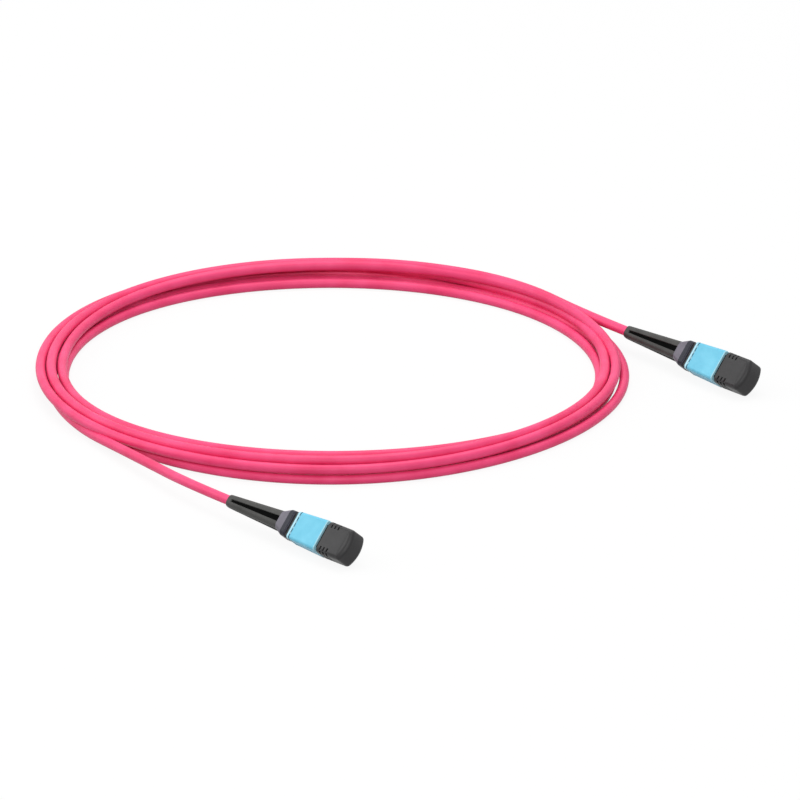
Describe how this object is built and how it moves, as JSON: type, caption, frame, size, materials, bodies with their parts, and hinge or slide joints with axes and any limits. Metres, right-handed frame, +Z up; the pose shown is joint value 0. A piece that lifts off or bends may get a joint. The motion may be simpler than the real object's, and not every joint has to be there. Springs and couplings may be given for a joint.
{
  "type": "fibre optic patch cable",
  "caption": "Round fibre optic patch cable in a loose coil, ending in push-on multi-fibre plugs with bend relief boots, sliding sleeves and pull-off dust caps.",
  "frame": {"origin": "on the surface that the cable lies on, midway between the connectors", "axes": "+X along each connector, from its boot to its dust cap; +Y from the near connector to the far one; +Z up"},
  "size_m": [0.2338, 0.218, 0.0127],
  "materials": {
    "cable_jacket": "satin",
    "boot_rubber": "satin",
    "collar_plastic": "satin",
    "housing_plastic": "matt",
    "sleeve_plastic": "satin",
    "cap_plastic": "satin",
    "crimp_metal": "nickel plated",
    "spring_steel": "drawn",
    "ferrule_polymer": "ground",
    "fibre_coating": "clear coat"
  },
  "bodies": {
    "cable": {"cable_coil": "cable_jacket", "cable_tail_a": "cable_jacket", "boot_a": "boot_rubber", "crimp_ring_a": "crimp_metal", "rear_body_a": "collar_plastic", "inner_housing_a": "housing_plastic", "sleeve_springs_a": "spring_steel", "ferrule_spring_a": "spring_steel", "fibre_ribbon_a": "fibre_coating", "cable_tail_b": "cable_jacket", "boot_b": "boot_rubber", "crimp_ring_b": "crimp_metal", "rear_body_b": "collar_plastic", "inner_housing_b": "housing_plastic", "sleeve_springs_b": "spring_steel", "ferrule_spring_b": "spring_steel", "fibre_ribbon_b": "fibre_coating"},
    "sleeve_a": {"coupling_sleeve_a": "sleeve_plastic"},
    "cap_a": {"dust_cap_a": "cap_plastic"},
    "ferrule_group_a": {"ferrule_a": "ferrule_polymer", "ferrule_boot_a": "boot_rubber", "pin_keeper_a": "spring_steel"},
    "sleeve_b": {"coupling_sleeve_b": "sleeve_plastic"},
    "cap_b": {"dust_cap_b": "cap_plastic"},
    "ferrule_group_b": {"ferrule_b": "ferrule_polymer", "ferrule_boot_b": "boot_rubber", "pin_keeper_b": "spring_steel"}
  },
  "joints": [
    {"name": "sleeve_slide_a", "type": "slide", "parent": "cable", "child": "sleeve_a", "axis": [-1, 0, 0], "range_m": [0, 0.0013], "stiffness_N_per_m": 800, "deforming": ["sleeve_springs_a"]},
    {"name": "cap_pull_a", "type": "slide", "parent": "cable", "child": "cap_a", "axis": [1, 0, 0], "range_m": [0, 0.012]},
    {"name": "ferrule_travel_a", "type": "slide", "parent": "cable", "child": "ferrule_group_a", "axis": [-1, 0, 0], "range_m": [0, 0.0008], "stiffness_N_per_m": 1500, "deforming": ["ferrule_spring_a", "fibre_ribbon_a"]},
    {"name": "sleeve_slide_b", "type": "slide", "parent": "cable", "child": "sleeve_b", "axis": [-1, 0, 0], "range_m": [0, 0.0013], "stiffness_N_per_m": 800, "deforming": ["sleeve_springs_b"]},
    {"name": "cap_pull_b", "type": "slide", "parent": "cable", "child": "cap_b", "axis": [1, 0, 0], "range_m": [0, 0.012]},
    {"name": "ferrule_travel_b", "type": "slide", "parent": "cable", "child": "ferrule_group_b", "axis": [-1, 0, 0], "range_m": [0, 0.0008], "stiffness_N_per_m": 1500, "deforming": ["ferrule_spring_b", "fibre_ribbon_b"]}
  ]
}
